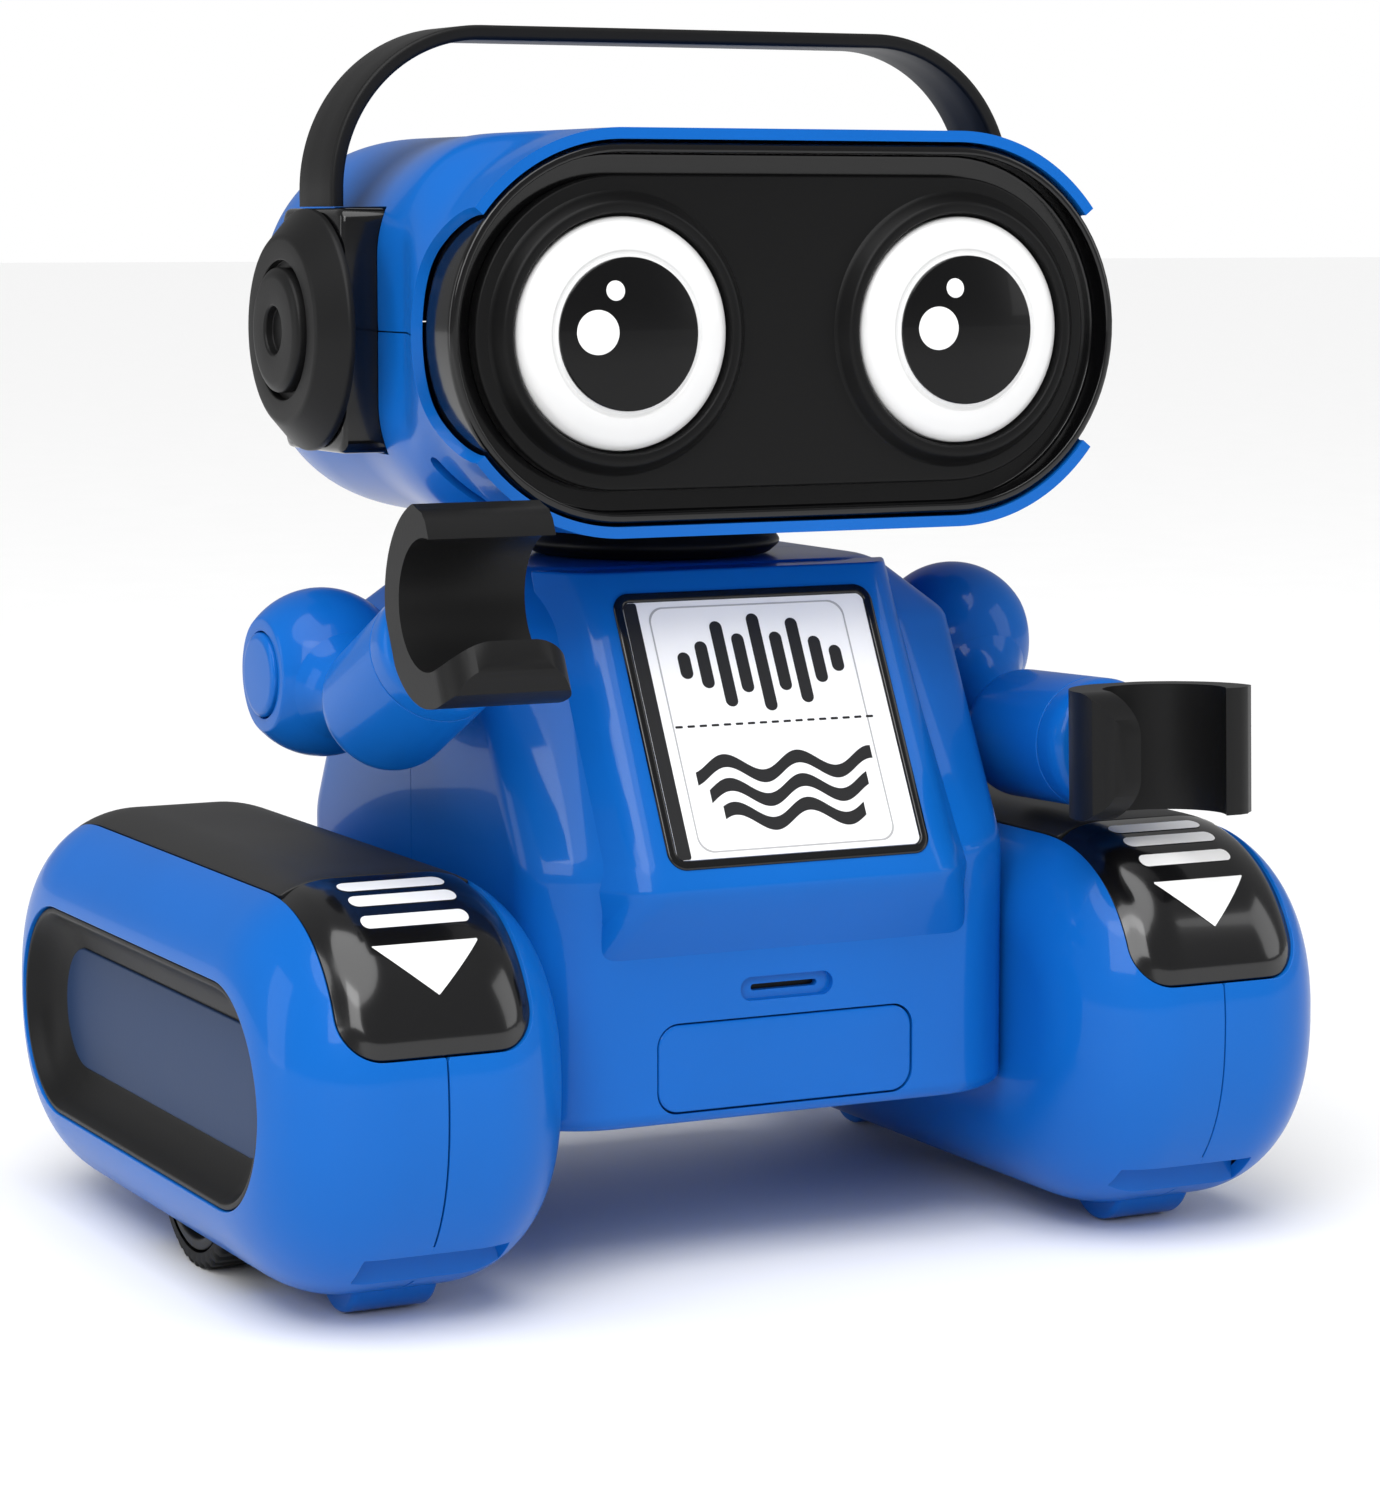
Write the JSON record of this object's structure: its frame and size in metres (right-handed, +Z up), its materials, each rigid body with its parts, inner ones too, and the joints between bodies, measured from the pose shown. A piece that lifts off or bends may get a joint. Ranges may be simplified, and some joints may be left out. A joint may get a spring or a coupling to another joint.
{
  "type": "toy robot",
  "caption": "Toy robot with a big-eyed headphone head, screen on the chest, two gripper arms and a rounded track-style pod on each side that hides a drive wheel and gliding skids.",
  "frame": {"origin": "on the ground under the middle of the footprint", "axes": "+Z up, the face looks along -Y, +X is the robot's left"},
  "size_m": [0.2134, 0.167, 0.2262],
  "materials": {
    "blue_shell": "glossy bright blue ABS",
    "blue_insert": "satin blue-grey panel",
    "black_gloss": "high-gloss black",
    "black_satin": "satin black",
    "cover_matt": "matt black",
    "smoked_lens": "smoked gloss window with pale markings",
    "white_gloss": "glossy white",
    "display_white": null,
    "tyre_rubber": "knurled black rubber",
    "motor_white": "plain moulded gearbox housing",
    "battery_black": "shrink-wrapped pack",
    "speaker_steel": "speaker can and cone",
    "board_green": "circuit board"
  },
  "bodies": {
    "chassis": {"torso_front_shell": "blue_shell", "torso_rear_shell": "blue_shell", "front_hatch": "blue_shell", "left_pod_outer_shell": "blue_shell", "right_pod_outer_shell": "blue_shell", "left_pod_inner_shell": "blue_shell", "right_pod_inner_shell": "blue_shell", "left_front_skid": "blue_shell", "right_front_skid": "blue_shell", "left_rear_skid": "blue_shell", "right_rear_skid": "blue_shell", "left_side_panel": "blue_insert", "right_side_panel": "blue_insert", "chest_frame": "black_gloss", "neck_collar": "black_satin", "left_side_ring": "black_satin", "right_side_ring": "black_satin", "left_pod_cover": "cover_matt", "right_pod_cover": "cover_matt", "left_pod_lens": "smoked_lens", "right_pod_lens": "smoked_lens", "chest_display": "display_white", "left_gear_motor": "motor_white", "right_gear_motor": "motor_white", "battery_pack": "battery_black", "speaker": "speaker_steel", "circuit_board": "board_green"},
    "head": {"head_upper_shell": "blue_shell", "head_lower_shell": "blue_shell", "face_bezel": "black_gloss", "face_plate": "black_satin", "headband": "black_satin", "neck_shaft": "black_satin", "left_eye_white": "white_gloss", "left_pupil": "black_gloss", "left_ear_block": "black_gloss", "left_ear_cup": "black_satin", "left_ear_cap": "black_satin", "right_eye_white": "white_gloss", "right_pupil": "black_gloss", "right_ear_block": "black_gloss", "right_ear_cup": "black_satin", "right_ear_cap": "black_satin"},
    "left_arm": {"left_shoulder_ball": "blue_shell", "left_shoulder_cap": "blue_shell", "left_forearm": "blue_shell"},
    "left_hand": {"left_wrist_collar": "blue_shell", "left_gripper": "black_satin"},
    "left_wheel": {"left_drive_wheel": "black_gloss", "left_tyre": "tyre_rubber"},
    "right_arm": {"right_shoulder_ball": "blue_shell", "right_shoulder_cap": "blue_shell", "right_forearm": "blue_shell"},
    "right_hand": {"right_wrist_collar": "blue_shell", "right_gripper": "black_satin"},
    "right_wheel": {"right_drive_wheel": "black_gloss", "right_tyre": "tyre_rubber"},
    "switch_knob": {"power_switch": "black_satin"}
  },
  "joints": [
    {"name": "head_turn", "type": "hinge", "parent": "chassis", "child": "head", "pos_m": [0, 0.0033, 0.1353], "axis": [0, 0, 1], "range_deg": [-45, 45]},
    {"name": "left_shoulder", "type": "hinge", "parent": "chassis", "child": "left_arm", "pos_m": [0.0675, 0.0046, 0.1078], "axis": [-1, 0, 0], "range_deg": [-2, 28]},
    {"name": "right_shoulder", "type": "hinge", "parent": "chassis", "child": "right_arm", "pos_m": [-0.0675, 0.0046, 0.1078], "axis": [-1, 0, 0], "range_deg": [-26, 4]},
    {"name": "left_wrist", "type": "hinge", "parent": "left_arm", "child": "left_hand", "pos_m": [0.0675, 0.00402, 0.09121], "axis": [0, -0.9994, 0.0349], "continuous": true},
    {"name": "right_wrist", "type": "hinge", "parent": "right_arm", "child": "right_hand", "pos_m": [-0.0675, -0.00268, 0.09288], "axis": [0, -0.8988, 0.4384], "continuous": true},
    {"name": "left_wheel_roll", "type": "hinge", "parent": "chassis", "child": "left_wheel", "pos_m": [0.0919, -0.0037, 0.02], "axis": [1, 0, 0], "continuous": true},
    {"name": "right_wheel_roll", "type": "hinge", "parent": "chassis", "child": "right_wheel", "pos_m": [-0.0919, -0.0037, 0.02], "axis": [1, 0, 0], "continuous": true},
    {"name": "power_slide", "type": "slide", "parent": "chassis", "child": "switch_knob", "axis": [1, 0, 0], "range_m": [0, 0.004]}
  ]
}
